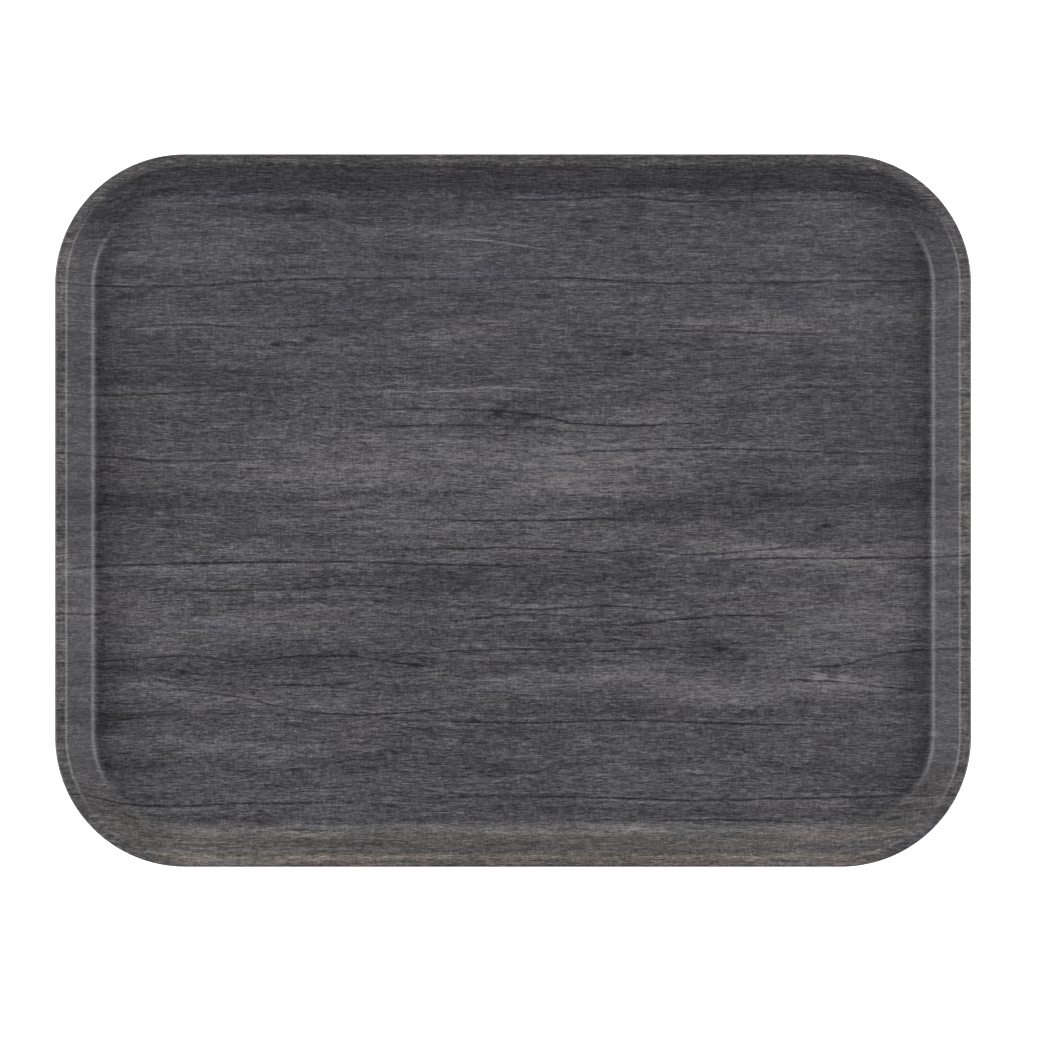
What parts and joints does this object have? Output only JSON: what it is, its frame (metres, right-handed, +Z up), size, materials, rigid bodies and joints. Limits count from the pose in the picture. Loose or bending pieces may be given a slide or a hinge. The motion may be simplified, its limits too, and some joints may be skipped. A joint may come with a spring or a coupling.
{
  "type": "serving tray",
  "caption": "Flat rectangular serving tray with round corners, a low sloping wall and a narrow flat rim, pressed from bonded paper sheets under a dark wood-grain face.",
  "frame": {"origin": "middle of the flat underside, on the surface that the tray stands on", "axes": "+X along the tray's length, +Y across its width, +Z up out of the serving face"},
  "size_m": [0.4572, 0.3556, 0.0191],
  "materials": {
    "clear_overlay": "satin",
    "wood_print": "matte",
    "kraft_core": "matte",
    "dark_backing": "satin"
  },
  "bodies": {
    "root": {"wear_overlay": "clear_overlay", "decor_sheet": "wood_print", "core_sheet_1": "kraft_core", "core_sheet_2": "kraft_core", "core_sheet_3": "kraft_core", "core_sheet_4": "kraft_core", "core_sheet_5": "kraft_core", "core_sheet_6": "kraft_core", "core_sheet_7": "kraft_core", "core_sheet_8": "kraft_core", "backing_sheet": "dark_backing"}
  },
  "joints": []
}
